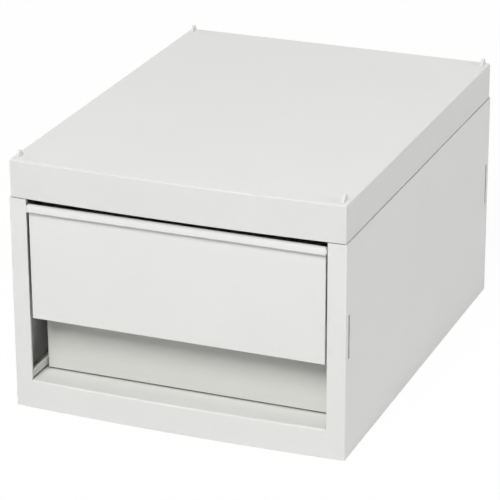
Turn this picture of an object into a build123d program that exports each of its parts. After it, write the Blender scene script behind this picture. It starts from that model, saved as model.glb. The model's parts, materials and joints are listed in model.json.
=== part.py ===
from build123d import *

import os
from math import radians, tan

# A moulded plastic case with one pull-out drawer, made to stack on its like.
# X runs across the front, Y from front to back, Z up. The origin is on the ground under the middle.

# Overall size
overall_width = 340.0
overall_depth = 450.0
deck_height = 255.0

# The front bows out by this much at its middle
front_crown = 4.5

# Case body
wall = 2.6
foot_wall = 3.6
corner_radius = 1.4
inner_corner_radius = 0.8
floor_level = 29.5
floor_thickness = 2.6
post_width = 18.0
sill_edge_radius = 1.8
match_tolerance = 0.01

# Ribs under the floor
floor_rib_depth = 4.0
floor_rib_thickness = 2.0
floor_ribs_across = 5
floor_ribs_along = 3

# Connector slots in the side walls
slot_width = 3.0
slot_height = 44.0
slot_inset = 9.0
slot_low = 101.0

# Skids that carry the drawer
skid_height = 1.0
skid_width = 4.0
skid_place = 118.0
slide_clearance = 0.3

# Bumps on the back wall that the drawer comes to rest against
bump_radius = 6.0

# Lid
lid_height = 38.0
lid_inset = 1.0
lid_wall = 2.4
deck_thickness = 2.6
deck_edge_radius = 1.5
seam_gap = 0.5
lid_rib_depth = 4.0
lid_rib_thickness = 1.8
lid_ribs_across = 5
lid_ribs_along = 3
hold_down_place = 110.0
hold_down_thickness = 2.4
hold_down_clearance = 0.8

# Tongue on the body's rim that the lid's skirt fits over, and the snaps between them
tongue_thickness = 1.5
tongue_height = 8.0
tongue_clearance = 0.2
tongue_root = 9.0
snap_width = 12.0
snap_depth = 1.1
snap_height = 3.0
snap_slope = 1.8
snap_rise = 2.6
snap_clearance = 0.3
side_snap_places = (-130.0, 0.0, 130.0)
back_snap_places = (-85.0, 85.0)

# Stacking pegs
peg_thickness = 2.6
peg_length = 10.5
peg_height = 6.8
peg_side_clearance = 1.8
peg_front_clearance = 3.4
peg_back_clearance = 0.5
peg_arc_radius = 9.5
peg_tip_radius = 1.0

# Drawer tray
tray_wall = 2.2
tray_floor = 2.4
tray_foot_gap = 1.6
tray_rim_gap = 0.5
tray_rim_drop = 5.2
tray_setback = 31.0
tray_rear_gap = 3.0
tray_corner_radius = 2.0
tray_inner_radius = 8.0
tray_floor_radius = 5.0

# Drawer front: a pull panel with a round-topped bead along its top edge
panel_thickness = 2.6
panel_low = 95.0
panel_gap_top = 1.9
panel_gap_low = 2.3
panel_edge_radius = 0.8
top_gap = 3.8
bead_height = 7.5
bead_reach = 4.5
bead_gap = 0.6
bead_round_depth = 4.0
bead_back_radius = 3.0
bead_low_radius = 0.8
bead_foot = 1.2
bead_end_radius = 3.4
bead_end_low_radius = 1.2
web_drop = 12.0
web_thickness = 2.4
return_depth = 10.0
return_thickness = 2.2
grip_depth = 7.0
grip_thickness = 2.4
hook_depth = 7.0
hook_thickness = 2.0
gusset_thickness = 2.0
gusset_low = 116.0
gusset_slope = 12.0
gusset_places = (-96.0, -32.0, 32.0, 96.0)
boss_radius = 4.2

# Guide rails on both sides of the drawer
rail_thickness = 3.0
rail_height = 7.2
rail_lift = 2.5
rail_edge_radius = 1.2
rail_end_clearance = 0.3
rail_foot_width = 13.0
rail_screw_margin = 1.0
rail_foot_length = 18.0
rail_feet = 4
rail_feet_from = -150.0
rail_feet_to = 190.0

# Screws
screw_shank_radius = 1.5
screw_clearance = 0.05
screw_pass_clearance = 0.25
screw_head_radius = 3.4
screw_head_height = 2.0
screw_head_edge = 0.9
screw_length = 12.0
screw_recess_width = 0.9
screw_recess_length = 3.8
screw_recess_depth = 1.1
boss_floor_radius = 3.6
boss_floor_depth = 8.0
front_screw_drop = 20.0
front_screw_spacing = 46.0

# Drawer stops, clipped to the tray's side rims
drawer_travel = 340.0
stop_clearance = 0.3
stop_engagement = 8.0
stop_length = 24.0
stop_leg = 20.0
stop_thickness = 2.2
stop_head_width = 6.0
stop_head_flat = 7.2
stop_stud_drop = 12.0
stop_stud_recess = 0.55
stop_stud_radius = 2.0
stop_stud_clearance = 0.15

# Places that follow from the sizes above
half_width = overall_width / 2
back = overall_depth / 2
front = -overall_depth / 2 + front_crown
seam = deck_height - lid_height
skirt_low = seam + seam_gap
floor_underside = floor_level - floor_thickness
opening_half = half_width - post_width
inside_half = half_width - wall
inside_back = back - wall

lid_inside = lid_inset + lid_wall
deck_underside = deck_height - deck_thickness

tray_foot = floor_level + skid_height + slide_clearance
tray_front = front + tray_setback
tray_back = inside_back - tray_rear_gap
tray_half_foot = opening_half - tray_foot_gap
tray_half_rim = opening_half - tray_rim_gap

tray_rim = seam - tray_rim_drop
bead_top = seam - top_gap
bead_half = opening_half - bead_gap
web_top = bead_top - web_drop
web_low = web_top - web_thickness
hook_half = tray_half_rim - tray_wall - tray_inner_radius
panel_back = front + panel_thickness
panel_half_top = opening_half - panel_gap_top
panel_half_low = opening_half - panel_gap_low

rail_low = floor_level + rail_lift
rail_top = rail_low + rail_height
rail_screw_x = opening_half + rail_foot_width - screw_head_radius - rail_screw_margin

front_screw_places = (gusset_places[0], gusset_places[-1])
front_screw_levels = (web_low - front_screw_drop - front_screw_spacing, web_low - front_screw_drop)


def block(x0, x1, y0, y1, z0, z1):
    """A box between two opposite corners."""
    middle = Pos((x0 + x1) / 2, (y0 + y1) / 2, (z0 + z1) / 2)
    return middle * Box(abs(x1 - x0), abs(y1 - y0), abs(z1 - z0))


def prism(outline, low, high):
    """An outline on the ground plane, raised from one level to another."""
    return Pos(0, 0, low) * extrude(outline, high - low)


def both_sides(shape):
    """A shape and its mirror image on the other side of the case."""
    return shape + mirror(shape, Plane.YZ)


def crown_at(x, inset=0.0):
    """The place of the crowned front, moved in by inset, at a distance x from the middle."""
    side = half_width - inset
    radius = (side**2 + front_crown**2) / (2 * front_crown)
    centre = front + inset - front_crown + radius
    return centre - (radius**2 - x**2) ** 0.5


def plan(inset, radius):
    """The case seen from above, moved in by inset: straight sides and back, and the crowned front."""
    side = half_width - inset
    near = front + inset
    far = back - inset
    walls = Polyline((-side, near), (-side, far), (side, far), (side, near))
    crown = ThreePointArc((side, near), (0, near - front_crown), (-side, near))
    face = make_face(walls + crown)
    return fillet(face.vertices(), radius)


def spaced(count, low, high):
    """Places that divide a length evenly, without its two ends."""
    step = (high - low) / (count + 1)
    return [low + step * (number + 1) for number in range(count)]


def rail_foot_places():
    """Where the feet of a guide rail stand."""
    step = (rail_feet_to - rail_feet_from) / (rail_feet - 1)
    return [rail_feet_from + step * number for number in range(rail_feet)]


def screw(length):
    """A pan-head screw with a cross recess, its head's seat at the origin and its shank downward."""
    shank = Pos(0, 0, -length / 2) * Cylinder(screw_shank_radius, length)
    head = Pos(0, 0, screw_head_height / 2) * Cylinder(screw_head_radius, screw_head_height)
    head = chamfer(head.edges().sort_by(Axis.Z)[-1], screw_head_edge)
    recess = Box(screw_recess_length, screw_recess_width, 2 * screw_recess_depth)
    recess = Pos(0, 0, screw_head_height) * recess
    return shank + head - recess - Rot(0, 0, 90) * recess


def floor_ribs():
    """The grid of ribs under the case's floor."""
    low = floor_underside - floor_rib_depth
    half = floor_rib_thickness / 2
    grid = Part()
    for x in spaced(floor_ribs_along, -half_width, half_width):
        grid += block(x - half, x + half, -back, back, low, floor_underside)
    for y in spaced(floor_ribs_across, front, back):
        grid += block(-half_width, half_width, y - half, y + half, low, floor_underside)
    return grid & prism(plan(foot_wall / 2, inner_corner_radius), low, floor_underside)


def rim_tongue():
    """The lip inside the body's rim that locates the lid's skirt, with windows for the lid's snaps."""
    outer = lid_inside + tongue_clearance
    inner = outer + tongue_thickness
    ring = prism(plan(outer, inner_corner_radius), seam, seam + tongue_height)
    ring -= prism(plan(inner, inner_corner_radius), seam, seam + tongue_height)
    root = prism(plan(wall / 2, inner_corner_radius), seam - tongue_root, seam)
    root -= prism(plan(inner, inner_corner_radius), seam - tongue_root, seam)
    tongue = ring + root
    tongue -= block(-opening_half, opening_half, -back, 0, seam - tongue_root, seam + tongue_height)
    low = skirt_low + snap_rise - snap_clearance
    high = skirt_low + snap_rise + snap_height + snap_clearance
    reach = snap_width / 2 + snap_clearance
    for y in side_snap_places:
        tongue -= both_sides(block(inside_half - 2 * outer, half_width, y - reach, y + reach, low, high))
    for x in back_snap_places:
        tongue -= block(x - reach, x + reach, inside_back - 2 * outer, back, low, high)
    return tongue


def sill_edge(body):
    """The front edge of the sill under the drawer's opening."""
    level = [edge for edge in body.edges()
             if abs(edge.center().Z - floor_level) < match_tolerance and edge.length > opening_half]
    return min(level, key=lambda edge: edge.center().Y)


def make_case_body():
    """Side walls, back, floor, hollow foot, front posts and sill in one moulding."""
    body = prism(plan(0, corner_radius), 0, seam)
    body -= prism(plan(wall, inner_corner_radius), floor_level, seam)
    body -= prism(plan(foot_wall, inner_corner_radius), 0, floor_underside)
    body -= block(-opening_half, opening_half, -back - wall, front + 2 * wall, floor_level, seam)
    body = fillet(sill_edge(body), sill_edge_radius)

    body += floor_ribs()
    body += rim_tongue()

    # Skids under the drawer, and the bumps on the back wall that it comes to rest against
    skid = block(skid_place - skid_width / 2, skid_place + skid_width / 2, tray_front + skid_width,
                 inside_back, floor_level, floor_level + skid_height)
    body += both_sides(skid)
    bump_length = tray_rear_gap - slide_clearance
    bump_height = (tray_foot + tray_rim) / 2
    bump = Cylinder(bump_radius, bump_length)
    bump = Pos(skid_place, inside_back - bump_length / 2, bump_height) * Rot(90, 0, 0) * bump
    body += both_sides(bump)

    # Connector slots near the front and the back edge of both side walls
    for y in (front + slot_inset, back - slot_inset):
        slot = block(inside_half - wall, half_width + wall, y - slot_width / 2, y + slot_width / 2,
                     slot_low, slot_low + slot_height)
        body -= both_sides(slot)

    # Bosses and pilot holes for the guide rails' screws
    for y in rail_foot_places():
        boss = Cylinder(boss_floor_radius, boss_floor_depth)
        boss = Pos(rail_screw_x, y, floor_underside - boss_floor_depth / 2) * boss
        hole = Pos(rail_screw_x, y, floor_underside) * Cylinder(screw_shank_radius + screw_clearance,
                                                                2 * boss_floor_depth + 2 * floor_thickness)
        body += both_sides(boss)
        body -= both_sides(hole)
    return body


def stacking_peg():
    """A thin upright plate with a pointed-arch outline, its foot centred on the origin."""
    half = peg_length / 2
    rise = RadiusArc((-half, 0), (0, peg_height), peg_arc_radius)
    fall = RadiusArc((0, peg_height), (half, 0), peg_arc_radius)
    foot = Line((half, 0), (-half, 0))
    arch = make_face(rise + fall + foot)
    arch = fillet(arch.vertices().sort_by(Axis.Y)[-1], peg_tip_radius)
    return extrude(Plane.YZ * arch, peg_thickness / 2, both=True)


def lid_ribs():
    """Stiffening ribs under the deck, and two deep ones that hold the drawer's tail down when it is out."""
    grid = Part()
    low = deck_underside - lid_rib_depth
    half = lid_rib_thickness / 2
    for x in spaced(lid_ribs_along, -half_width, half_width):
        grid += block(x - half, x + half, -back, back, low, deck_underside)
    for y in spaced(lid_ribs_across, front, back):
        grid += block(-half_width, half_width, y - half, y + half, low, deck_underside)
    hold_down = block(hold_down_place - hold_down_thickness / 2, hold_down_place + hold_down_thickness / 2,
                      tray_front + 2 * hook_depth, back - lid_inside - 2 * tongue_thickness,
                      tray_rim + hold_down_clearance, deck_underside)
    grid += both_sides(hold_down)
    return grid & prism(plan(lid_inset + lid_wall / 2, inner_corner_radius), tray_rim, deck_underside)


def lid_snaps():
    """Wedges inside the lid's skirt that catch in the windows of the body's tongue."""
    low = skirt_low + snap_rise
    wedge = make_face(Polyline((0, 0), (0, snap_height), (-snap_depth, snap_height),
                               (-snap_depth, snap_slope), (0, 0)))
    snaps = Part()
    side = half_width - lid_inside
    for y in side_snap_places:
        wedge_plane = Plane((side, y, low), x_dir=(1, 0, 0), z_dir=(0, -1, 0))
        snaps += both_sides(extrude(wedge_plane * wedge, snap_width / 2, both=True))
    for x in back_snap_places:
        wedge_plane = Plane((x, back - lid_inside, low), x_dir=(0, 1, 0), z_dir=(1, 0, 0))
        snaps += extrude(wedge_plane * wedge, snap_width / 2, both=True)
    return snaps


def make_lid():
    """The top cover: deck, deep skirt, stacking pegs, ribs and snaps in one moulding."""
    lid = prism(plan(lid_inset, corner_radius), skirt_low, deck_height)
    lid = fillet(lid.faces().sort_by(Axis.Z)[-1].edges(), deck_edge_radius)
    lid -= prism(plan(lid_inside, inner_corner_radius), skirt_low, deck_underside)
    lid += lid_ribs()
    lid += lid_snaps()
    peg_x = half_width - foot_wall - peg_side_clearance - peg_thickness / 2
    peg_front = front + foot_wall + peg_front_clearance + peg_length / 2
    peg_back = back - foot_wall - peg_back_clearance - peg_length / 2
    for y in (peg_front, peg_back):
        lid += both_sides(Pos(peg_x, y, deck_height) * stacking_peg())
    return lid


def make_guide_rail():
    """The right guide rail: a raised bar in line with the post, on feet that are screwed to the floor."""
    rail_front = crown_at(opening_half, wall) + rail_end_clearance
    rail_back = inside_back - rail_end_clearance
    bar = block(opening_half, opening_half + rail_thickness, rail_front, rail_back, rail_low, rail_top)
    top_edges = bar.edges().filter_by(Axis.Y).group_by(Axis.Z)[-1]
    rail = fillet(top_edges, rail_edge_radius)
    for y in rail_foot_places():
        near = y - rail_foot_length / 2
        far = y + rail_foot_length / 2
        rail += block(opening_half, opening_half + rail_foot_width, near, far, floor_level, rail_low)
        hole = Cylinder(screw_shank_radius + screw_pass_clearance, 4 * rail_lift)
        rail -= Pos(rail_screw_x, y, floor_level) * hole
    return rail


def make_rail_screws():
    """The screws of the right guide rail."""
    return [Pos(rail_screw_x, y, rail_low) * screw(screw_length) for y in rail_foot_places()]


def tray_outline(inset, low):
    """The tray's section seen from the front, moved in by inset, with its foot at a level."""
    half_low = tray_half_foot - inset
    half_rim = tray_half_rim - inset
    return make_face(Polyline((-half_low, low), (half_low, low), (half_rim, tray_rim),
                              (-half_rim, tray_rim), (-half_low, low)))


def along_depth(section, near, far):
    """A section seen from the front, carried from one place to another along the depth."""
    plane = Plane((0, far, 0), x_dir=(1, 0, 0), z_dir=(0, -1, 0))
    return extrude(plane * section, far - near)


def upright_edges(shape):
    """The edges of a drafted box that run from its foot to its rim."""
    return [edge for edge in shape.edges() if abs((edge @ 1 - edge @ 0).Z) > tray_floor]


def make_drawer_tray():
    """The drawer's open box, drafted at its sides."""
    tray = along_depth(tray_outline(0, tray_foot), tray_front, tray_back)
    tray = fillet(upright_edges(tray), tray_corner_radius)
    cavity = along_depth(tray_outline(tray_wall, tray_foot + tray_floor), tray_front + tray_wall,
                         tray_back - tray_wall)
    cavity = fillet(upright_edges(cavity), tray_inner_radius)
    cavity = fillet(cavity.faces().sort_by(Axis.Z)[0].edges(), tray_floor_radius)
    tray -= cavity
    # The front wall is lower than the sides, and the drawer front hooks over it
    notch_half = hook_half + slide_clearance
    tray -= block(-notch_half, notch_half, tray_front - tray_wall, tray_front + 2 * tray_wall,
                  web_low, tray_rim)
    hole = Rot(90, 0, 0) * Cylinder(screw_shank_radius + screw_pass_clearance, 4 * tray_wall)
    for x in front_screw_places:
        for z in front_screw_levels:
            tray -= Pos(x, tray_front, z) * hole
    tray -= both_sides(stop_stud(stop_stud_radius + stop_stud_clearance))
    return tray


def rectangle(x0, x1, y0, y1):
    """A rectangle's outline between two opposite corners."""
    return make_face(Polyline((x0, y0), (x1, y0), (x1, y1), (x0, y1), (x0, y0)))


def bead_profile():
    """The bead's section seen from the right side: a round top and front over a flat underside."""
    low = bead_top - bead_height
    near = front - bead_reach
    crest = near + bead_round_depth
    brow = EllipticalCenterArc((crest, low + bead_foot), bead_round_depth, bead_height - bead_foot,
                               start_angle=90, arc_size=90)
    rest = Polyline((near, low + bead_foot), (near, low), (panel_back, low), (panel_back, bead_top),
                    (crest, bead_top))
    outline = make_face(brow + rest)
    back_top = outline.vertices().group_by(Axis.Y)[-1].sort_by(Axis.X)[-1]
    outline = fillet(back_top, bead_back_radius)
    low_front = outline.vertices().group_by(Axis.Y)[0].sort_by(Axis.X)[0]
    return fillet(low_front, bead_low_radius)


def make_bead():
    """The bead along the panel's top, a little wider than the panel, with rounded ends."""
    low = bead_top - bead_height
    bead = extrude(Plane.YZ * bead_profile(), bead_half, both=True)
    from_above = rectangle(-bead_half, bead_half, front - bead_reach, panel_back)
    from_above = fillet(from_above.vertices().group_by(Axis.Y)[0], bead_end_radius)
    from_front = rectangle(-bead_half, bead_half, low, bead_top)
    from_front = fillet(from_front.vertices().group_by(Axis.Y)[-1], bead_end_radius)
    from_front = fillet(from_front.vertices().group_by(Axis.Y)[0], bead_end_low_radius)
    bead &= prism(from_above, low, bead_top)
    bead &= along_depth(from_front, front - bead_reach, panel_back)
    return bead


def make_drawer_front():
    """The pull panel with its bead, the web that hooks over the tray's rim, gussets and screw bosses."""
    face = make_face(Polyline((-panel_half_low, panel_low), (panel_half_low, panel_low),
                              (panel_half_top, bead_top - bead_height / 2),
                              (-panel_half_top, bead_top - bead_height / 2), (-panel_half_low, panel_low)))
    panel = along_depth(face, front, panel_back)
    panel = fillet(panel.faces().sort_by(Axis.Y)[0].edges().sort_by(Axis.Z)[:-1], panel_edge_radius)

    shape = panel + make_bead()

    inner = panel_half_low - panel_edge_radius
    hook_front = tray_front + tray_wall + slide_clearance
    hook_back = hook_front + hook_thickness
    shape += block(-inner, inner, panel_back, tray_front, web_low, web_top)
    shape += block(-hook_half, hook_half, tray_front, hook_back, web_low, web_top)
    shape += block(-hook_half, hook_half, hook_front, hook_back, web_low - hook_depth, web_top)

    near = front + panel_edge_radius
    foot = panel_low + panel_edge_radius
    side_return = block(inner - return_thickness, inner, near, panel_back + return_depth, foot, web_top)
    shape += both_sides(side_return)
    shape += block(-inner, inner, near, panel_back + grip_depth, foot, foot + grip_thickness)

    gusset = make_face(Polyline((panel_back, gusset_low), (tray_front, gusset_low + gusset_slope),
                                (tray_front, web_low), (panel_back, web_low), (panel_back, gusset_low)))
    for x in gusset_places:
        shape += Pos(x, 0, 0) * extrude(Plane.YZ * gusset, gusset_thickness / 2, both=True)
    boss_length = tray_front - panel_back
    for x in front_screw_places:
        for z in front_screw_levels:
            place = Pos(x, tray_front - boss_length / 2, z) * Rot(90, 0, 0)
            shape += place * Cylinder(boss_radius, boss_length)
    pilot = screw_length + screw_clearance
    for x in front_screw_places:
        for z in front_screw_levels:
            place = Pos(x, tray_front - pilot / 2, z) * Rot(90, 0, 0)
            shape -= place * Cylinder(screw_shank_radius + screw_clearance, pilot)
    return shape


def make_drawer_front_screws():
    """Screws from inside the tray into the drawer front's bosses."""
    seat = tray_front + tray_wall
    return [Pos(x, seat, z) * Rot(-90, 0, 0) * screw(screw_length)
            for x in front_screw_places for z in front_screw_levels]


def tray_side_at(z):
    """Half the tray's outer width at a level."""
    share = (z - tray_foot) / (tray_rim - tray_foot)
    return tray_half_foot + (tray_half_rim - tray_half_foot) * share


def stop_middle():
    """The middle of a drawer stop along the depth, so that it meets the skirt at full travel."""
    reach = crown_at(tray_half_rim, lid_inside) + stop_clearance
    return reach + drawer_travel + stop_length / 2


def stop_stud(radius):
    """The stud that holds the right drawer stop in the tray's side wall."""
    level = tray_rim - stop_stud_drop
    outer = tray_side_at(level) - stop_stud_recess
    inner = tray_side_at(level) - tray_wall - stop_thickness / 2
    return Pos((outer + inner) / 2, stop_middle(), level) * Rot(0, 90, 0) * Cylinder(radius, outer - inner)


def make_drawer_stop():
    """The right drawer stop: a leg inside the tray's wall, and a head above the rim with a sloped back."""
    inner_face = tray_side_at(tray_rim - stop_leg) - tray_wall - stop_clearance
    near = stop_middle() - stop_length / 2
    far = stop_middle() + stop_length / 2
    top = skirt_low + stop_engagement
    leg = block(inner_face - stop_thickness, inner_face, near, far, tray_rim - stop_leg, tray_rim)
    head_outline = make_face(Polyline((near, tray_rim), (far, tray_rim), (far, tray_rim + stop_thickness),
                                      (near + stop_head_flat, top), (near, top), (near, tray_rim)))
    head = extrude(Plane.YZ * head_outline, stop_head_width)
    head = Pos(tray_half_rim - stop_head_width, 0, 0) * head
    return leg + head + stop_stud(stop_stud_radius)


def write(shape, name):
    """Writes one node's solids."""
    if isinstance(shape, list):
        shape = Compound(children=shape)
    export_step(shape, f"parts/{name}.step")


def mirrored(shapes):
    """The left-hand copies of a list of solids."""
    return [mirror(shape, Plane.YZ) for shape in shapes]


os.makedirs("parts", exist_ok=True)

write(make_case_body(), "case_body")
write(make_lid(), "lid")
write(make_drawer_tray(), "drawer_tray")
write(make_drawer_front(), "drawer_front")
write(make_drawer_front_screws(), "drawer_front_screws")

right_rail = make_guide_rail()
write(right_rail, "right_guide_rail")
write(mirror(right_rail, Plane.YZ), "left_guide_rail")

right_rail_screws = make_rail_screws()
write(right_rail_screws, "right_rail_screws")
write(mirrored(right_rail_screws), "left_rail_screws")

right_stop = make_drawer_stop()
write(right_stop, "right_drawer_stop")
write(mirror(right_stop, Plane.YZ), "left_drawer_stop")
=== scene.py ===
import json
import math

import bpy
from mathutils import Matrix, Vector

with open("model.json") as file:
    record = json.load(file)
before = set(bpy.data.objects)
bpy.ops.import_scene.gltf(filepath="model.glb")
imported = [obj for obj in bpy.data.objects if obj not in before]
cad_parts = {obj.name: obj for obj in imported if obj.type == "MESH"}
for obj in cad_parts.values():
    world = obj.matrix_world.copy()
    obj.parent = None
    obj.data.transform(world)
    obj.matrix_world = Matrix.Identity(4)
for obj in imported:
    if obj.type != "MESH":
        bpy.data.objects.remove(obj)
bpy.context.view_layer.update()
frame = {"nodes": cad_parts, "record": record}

# Lengths are in metres, and angles are written in degrees. An azimuth counts from the case's front
# towards its right side.

# The photograph's view: a camera far off, right of the front and above the case
image_size = 500.0
sensor_width = 36.0
focal_pixels = 2638.0
view_azimuth = 21.81
view_elevation = 22.08
view_roll = -0.23
view_distance = 2.666
aim_point = Vector((0.0, 0.0, 0.125))
aim_right = 0.01144
aim_up = 0.01911
nearest_seen = 0.05
farthest_seen = 50.0

# Plastic and zinc colours, as a colour picker shows them
body_grey = (223, 223, 221)
lid_grey = (218, 218, 216)
front_grey = (223, 223, 221)
tray_grey = (209, 209, 205)
rail_grey = (216, 216, 213)
zinc_blue = (196, 201, 208)
zinc_straw = (208, 203, 188)

# Light: what the white surroundings give, the strength at which they and the floor show white, where the
# lamps aim, and each lamp's name, azimuth, elevation, distance, size and power
white = (1.0, 1.0, 1.0, 1.0)
sky_light = 0.03
seen_white = 1.0
lamp_aim = Vector((0.0, -0.1, 0.1))
lamps = (
    ("key", 3.0, 45.0, 5.0, 2.0, 230.0),
    ("right", 98.0, 20.0, 5.0, 2.6, 99.0),
    ("left", -98.0, 20.0, 5.0, 2.6, 80.0),
    ("back", 180.0, 45.0, 5.0, 3.0, 54.0),
)

# Floor: what it throws back on the object, how light it is itself, the share that glows white, and its reach
floor_bounce = 0.7
floor_seen = 0.9
floor_glow = 0.96
floor_half_width = 8.0

# Moulded surface: clouds and mottling, each with its size, detail, noise levels and tones, and the
# mottling's share of both
cloud_size = 0.09
cloud_detail = 3.0
cloud_levels = (0.35, 0.65)
cloud_tones = (-0.012, 0.010)
mottle_size = 0.004
mottle_detail = 4.0
mottle_levels = (0.3, 0.7)
mottle_tones = (-0.008, 0.006)
mottle_share = 0.5

# Moulded surface: fine grain, and edges that are softened and rubbed lighter
grain_size = 0.0006
grain_detail = 2.0
grain_strength = 0.35
grain_depth = 0.000012
edge_softness = 0.0005
edge_samples = 4
edge_levels = (0.80, 0.99)
edge_tone = 0.05

# Moulded surface: gloss, and the stretch that draws the clouds out along a rail
satin_roughness = 0.62
smooth_roughness = 0.45
roughness_swing = 0.03
plastic_refraction = 1.49
drawn_out = (1.0, 0.1, 1.0)

# Painted shade in gaps and corners, darkening where neighbours close in: how far it looks for a neighbour,
# how shut in it starts, the tone it reaches, and the height below which the foot is left without it
gap_shade_reach = 0.008
gap_shade_start = 0.8
gap_shade_tone = -0.85
gap_shade_lowest = 0.012
gap_shade_samples = 8

# Painted shade on surfaces that face up: how far up they must face for it to start, and its tone
top_shade_start = 0.1
top_shade_tone = -0.2

# Zinc-plated steel: its bloom and scratches
bloom_size = 0.003
bloom_levels = (0.35, 0.65)
scratch_size = 0.0004
zinc_detail = 3.0
scratch_strength = 0.25
scratch_depth = 0.00001
zinc_roughness = (0.24, 0.42)


def linear(colour):
    """A colour-picker colour as the scene-linear colour that a shader takes."""
    parts = [part / 255 for part in colour]
    shares = [part / 12.92 if part <= 0.04045 else ((part + 0.055) / 1.055) ** 2.4 for part in parts]
    return (*shares, 1.0)


def toned(colour, share):
    """A colour made lighter or darker by a share of itself."""
    return tuple(min(1.0, part * (1 + share)) for part in colour[:3]) + (1.0,)


def grey(level):
    """A scene-linear grey."""
    return (level, level, level, 1.0)


def direction(azimuth, elevation):
    """The direction from the case to a place at an azimuth and an elevation."""
    turn = math.radians(azimuth)
    rise = math.radians(elevation)
    return Vector((math.sin(turn) * math.cos(rise), -math.cos(turn) * math.cos(rise), math.sin(rise)))


class Nodes:
    """Short ways to add and join the nodes of one material."""

    def __init__(self, name):
        self.material = bpy.data.materials.new(name)
        self.material.use_nodes = True
        self.tree = self.material.node_tree
        self.tree.nodes.clear()
        self.output = self.add("ShaderNodeOutputMaterial")

    def add(self, kind, **settings):
        """A new node with its settings."""
        node = self.tree.nodes.new(kind)
        for key, value in settings.items():
            setattr(node, key, value)
        return node

    def join(self, source, target):
        """A link from one node's socket to another's."""
        self.tree.links.new(source, target)

    def place(self):
        """The point on the object, in metres."""
        return self.add("ShaderNodeTexCoord").outputs["Object"]

    def noise(self, place, size, detail):
        """Noise whose marks have a size."""
        node = self.add("ShaderNodeTexNoise")
        node.inputs["Scale"].default_value = 1.0 / size
        node.inputs["Detail"].default_value = detail
        self.join(place, node.inputs["Vector"])
        return node.outputs["Fac"]

    def between(self, share, low, high, start=0.0, end=1.0):
        """Low where the share is at its start, high where it is at its end."""
        node = self.add("ShaderNodeMapRange")
        node.inputs["From Min"].default_value = start
        node.inputs["From Max"].default_value = end
        node.inputs["To Min"].default_value = low
        node.inputs["To Max"].default_value = high
        self.join(share, node.inputs["Value"])
        return node.outputs["Result"]

    def mix(self, share, first, second):
        """Two colours mixed by a share. Each of the three is a socket or a fixed value."""
        node = self.add("ShaderNodeMix", data_type="RGBA")
        for name, value in (("Factor", share), ("A", first), ("B", second)):
            if isinstance(value, (float, tuple)):
                node.inputs[name].default_value = value
            else:
                self.join(value, node.inputs[name])
        return node.outputs["Result"]

    def bump(self, height, strength, depth):
        """A bump node that raises the surface by a height's share of a depth."""
        node = self.add("ShaderNodeBump")
        node.inputs["Strength"].default_value = strength
        node.inputs["Distance"].default_value = depth
        self.join(height, node.inputs["Height"])
        return node

    def finish(self, shader, colour, roughness, normal):
        """The material, with its shader joined up."""
        self.join(colour, shader.inputs["Base Color"])
        self.join(roughness, shader.inputs["Roughness"])
        self.join(normal, shader.inputs["Normal"])
        self.join(shader.outputs["BSDF"], self.output.inputs["Surface"])
        return self.material


def two_toned(n, noise, levels, base, tones):
    """A colour's darker tone where noise is low, its lighter tone where it is high."""
    darker, lighter = tones
    return n.mix(n.between(noise, 0.0, 1.0, *levels), toned(base, darker), toned(base, lighter))


def clouded(n, place, base, mottle, stretch):
    """A plastic's colour with faint clouds and mottling."""
    stretched = n.add("ShaderNodeMapping")
    stretched.inputs["Scale"].default_value = stretch
    n.join(place, stretched.inputs["Vector"])
    clouds = n.noise(stretched.outputs["Vector"], cloud_size, cloud_detail)
    cloudy = two_toned(n, clouds, cloud_levels, base, cloud_tones)
    mottled = two_toned(n, mottle, mottle_levels, base, mottle_tones)
    return n.mix(mottle_share, cloudy, mottled)


def edges_rubbed(n, surface, base, soft, geometry):
    """A surface made lighter where its softened direction leaves its own, along edges."""
    facing = n.add("ShaderNodeVectorMath", operation="DOT_PRODUCT")
    n.join(soft.outputs["Normal"], facing.inputs[0])
    n.join(geometry.outputs["Normal"], facing.inputs[1])
    edge = n.between(facing.outputs["Value"], 1.0, 0.0, *edge_levels)
    return n.mix(edge, surface, toned(base, edge_tone))


def painted_top_shade(n, surface, base, geometry):
    """A surface darkened with painted shade where it faces up."""
    level = n.add("ShaderNodeSeparateXYZ")
    n.join(geometry.outputs["Normal"], level.inputs["Vector"])
    facing_up = n.between(level.outputs["Z"], 0.0, 1.0, top_shade_start, 1.0)
    return n.mix(facing_up, surface, toned(base, top_shade_tone))


def painted_gap_shade(n, surface, base, place):
    """A surface darkened with painted shade in its gaps and corners, but not at the foot."""
    open_share = n.add("ShaderNodeAmbientOcclusion", samples=gap_shade_samples)
    open_share.inputs["Distance"].default_value = gap_shade_reach
    height = n.add("ShaderNodeSeparateXYZ")
    n.join(place, height.inputs["Vector"])
    unshaded = n.add("ShaderNodeMath", operation="MAXIMUM")
    in_the_open = n.between(open_share.outputs["AO"], 0.0, 1.0, 0.0, gap_shade_start)
    at_the_foot = n.between(height.outputs["Z"], 1.0, 0.0, gap_shade_lowest, gap_shade_lowest + gap_shade_reach)
    n.join(in_the_open, unshaded.inputs[0])
    n.join(at_the_foot, unshaded.inputs[1])
    return n.mix(unshaded.outputs["Value"], toned(base, gap_shade_tone), surface)


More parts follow.
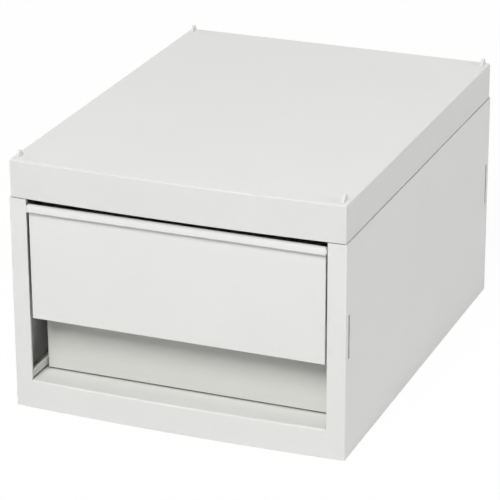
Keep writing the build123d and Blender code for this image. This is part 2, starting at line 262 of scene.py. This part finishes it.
def moulded_plastic(name, colour, roughness=satin_roughness, stretch=(1.0, 1.0, 1.0), gaps=False,
                    shaded_tops=False):
    """Moulded plastic: fine grain, faint clouds and mottling, rubbed edges, and painted shade in gaps and on
    up-facing surfaces where asked for.
    """
    n = Nodes(name)
    place = n.place()
    base = linear(colour)
    mottle = n.noise(place, mottle_size, mottle_detail)
    surface = clouded(n, place, base, mottle, stretch)

    soft = n.add("ShaderNodeBevel", samples=edge_samples)
    soft.inputs["Radius"].default_value = edge_softness
    grain = n.bump(n.noise(place, grain_size, grain_detail), grain_strength, grain_depth)
    n.join(soft.outputs["Normal"], grain.inputs["Normal"])

    geometry = n.add("ShaderNodeNewGeometry")
    surface = edges_rubbed(n, surface, base, soft, geometry)
    # Painted shade: up-facing surfaces are darkened where asked for
    if shaded_tops:
        surface = painted_top_shade(n, surface, base, geometry)
    # Painted shade: gaps and corners shut in by neighbours are darkened where asked for
    if gaps:
        surface = painted_gap_shade(n, surface, base, place)

    shader = n.add("ShaderNodeBsdfPrincipled")
    shader.inputs["IOR"].default_value = plastic_refraction
    gloss = n.between(mottle, roughness - roughness_swing, roughness + roughness_swing)
    return n.finish(shader, surface, gloss, grain.outputs["Normal"])


def zinc_steel(name):
    """Zinc-plated screw steel: cloudy bright metal with a faint blue and straw bloom."""
    n = Nodes(name)
    place = n.place()
    bloom = n.noise(place, bloom_size, zinc_detail)
    scratches = n.noise(place, scratch_size, zinc_detail)
    colour = n.mix(n.between(bloom, 0.0, 1.0, *bloom_levels), linear(zinc_blue), linear(zinc_straw))
    bump = n.bump(scratches, scratch_strength, scratch_depth)
    shader = n.add("ShaderNodeBsdfPrincipled")
    shader.inputs["Metallic"].default_value = 1.0
    return n.finish(shader, colour, n.between(scratches, *zinc_roughness), bump.outputs["Normal"])


def dress():
    """Gives every CAD node the finish of its material slot."""
    finishes = {
        # The case's gaps and corners get painted shade
        "case_plastic": moulded_plastic("case_moulding", body_grey, gaps=True),
        "lid_plastic": moulded_plastic("lid_moulding", lid_grey),
        "tray_plastic": moulded_plastic("tray_moulding", tray_grey),
        # The front's up-facing surfaces, such as the bead's top, get painted shade
        "front_plastic": moulded_plastic("front_moulding", front_grey, smooth_roughness, shaded_tops=True),
        "rail_plastic": moulded_plastic("rail_moulding", rail_grey, smooth_roughness, drawn_out),
        "stop_plastic": moulded_plastic("stop_moulding", rail_grey),
        "screw_steel": zinc_steel("zinc"),
    }
    for part in frame["record"]["subparts"]:
        mesh = frame["nodes"][part["node"]].data
        mesh.materials.clear()
        mesh.materials.append(finishes[part["material_slot"]])


def make_camera():
    """The photograph's viewing angle and framing."""
    back = direction(view_azimuth, view_elevation)
    level = direction(view_azimuth + 90.0, 0.0)
    upright = back.cross(level)
    roll = math.radians(view_roll)
    right = level * math.cos(roll) + upright * math.sin(roll)
    up = upright * math.cos(roll) - level * math.sin(roll)
    data = bpy.data.cameras.new("camera")
    data.sensor_width = sensor_width
    data.lens = focal_pixels / image_size * sensor_width
    data.clip_start = nearest_seen
    data.clip_end = farthest_seen
    camera = bpy.data.objects.new("camera", data)
    bpy.context.scene.collection.objects.link(camera)
    turn = Matrix((right, up, back)).transposed()
    place = aim_point - right * aim_right - up * aim_up + back * view_distance
    camera.matrix_world = Matrix.Translation(place) @ turn.to_4x4()
    bpy.context.scene.camera = camera


def area_lamp(name, place, size, power):
    """A square soft lamp at a place, facing the case."""
    data = bpy.data.lights.new(name, "AREA")
    data.size = size
    data.energy = power
    lamp = bpy.data.objects.new(name, data)
    bpy.context.scene.collection.objects.link(lamp)
    turn = (lamp_aim - place).normalized().to_track_quat("-Z", "Y").to_matrix().to_4x4()
    lamp.matrix_world = Matrix.Translation(place) @ turn


def make_lamps():
    """A soft lamp above the front, and wide weaker ones from both sides and from behind."""
    for name, azimuth, elevation, distance, size, power in lamps:
        area_lamp(name, lamp_aim + direction(azimuth, elevation) * distance, size, power)


def white_seen(tree):
    """One for rays that show the surroundings, straight from the camera, mirrored or through glass."""
    path = tree.nodes.new("ShaderNodeLightPath")
    seen = path.outputs["Is Camera Ray"]
    for ray in ("Is Glossy Ray", "Is Transmission Ray"):
        either = tree.nodes.new("ShaderNodeMath")
        either.operation = "MAXIMUM"
        tree.links.new(seen, either.inputs[0])
        tree.links.new(path.outputs[ray], either.inputs[1])
        seen = either.outputs["Value"]
    return seen


def make_world():
    """White surroundings that give the object a little light."""
    world = bpy.data.worlds.new("surroundings")
    bpy.context.scene.world = world
    world.use_nodes = True
    tree = world.node_tree
    tree.nodes.clear()
    choose = tree.nodes.new("ShaderNodeMixShader")
    tree.links.new(white_seen(tree), choose.inputs["Fac"])
    for number, strength in enumerate((sky_light, seen_white), start=1):
        shade = tree.nodes.new("ShaderNodeBackground")
        shade.inputs["Color"].default_value = white
        shade.inputs["Strength"].default_value = strength
        tree.links.new(shade.outputs["Background"], choose.inputs[number])
    output = tree.nodes.new("ShaderNodeOutputWorld")
    tree.links.new(choose.outputs["Shader"], output.inputs["Surface"])


def floor_material():
    """Pale and matt, and white where nothing shades it."""
    n = Nodes("pale_floor")
    seen = white_seen(n.tree)
    matt = n.add("ShaderNodeBsdfDiffuse")
    n.join(n.mix(seen, grey(floor_bounce), grey(floor_seen)), matt.inputs["Color"])
    glow = n.add("ShaderNodeEmission")
    glow.inputs["Color"].default_value = white
    glow.inputs["Strength"].default_value = seen_white
    mixed = n.add("ShaderNodeMixShader")
    n.join(n.between(seen, 0.0, floor_glow), mixed.inputs["Fac"])
    n.join(matt.outputs["BSDF"], mixed.inputs[1])
    n.join(glow.outputs["Emission"], mixed.inputs[2])
    n.join(mixed.outputs["Shader"], n.output.inputs["Surface"])
    return n.material


def make_floor():
    """A level floor that the object stands on."""
    half = floor_half_width
    mesh = bpy.data.meshes.new("floor")
    corners = [(-half, -half, 0), (half, -half, 0), (half, half, 0), (-half, half, 0)]
    mesh.from_pydata(corners, [], [(0, 1, 2, 3)])
    mesh.materials.append(floor_material())
    floor = bpy.data.objects.new("floor", mesh)
    bpy.context.scene.collection.objects.link(floor)


dress()
make_camera()
make_world()
make_lamps()
make_floor()
bpy.context.scene.view_settings.view_transform = "Standard"
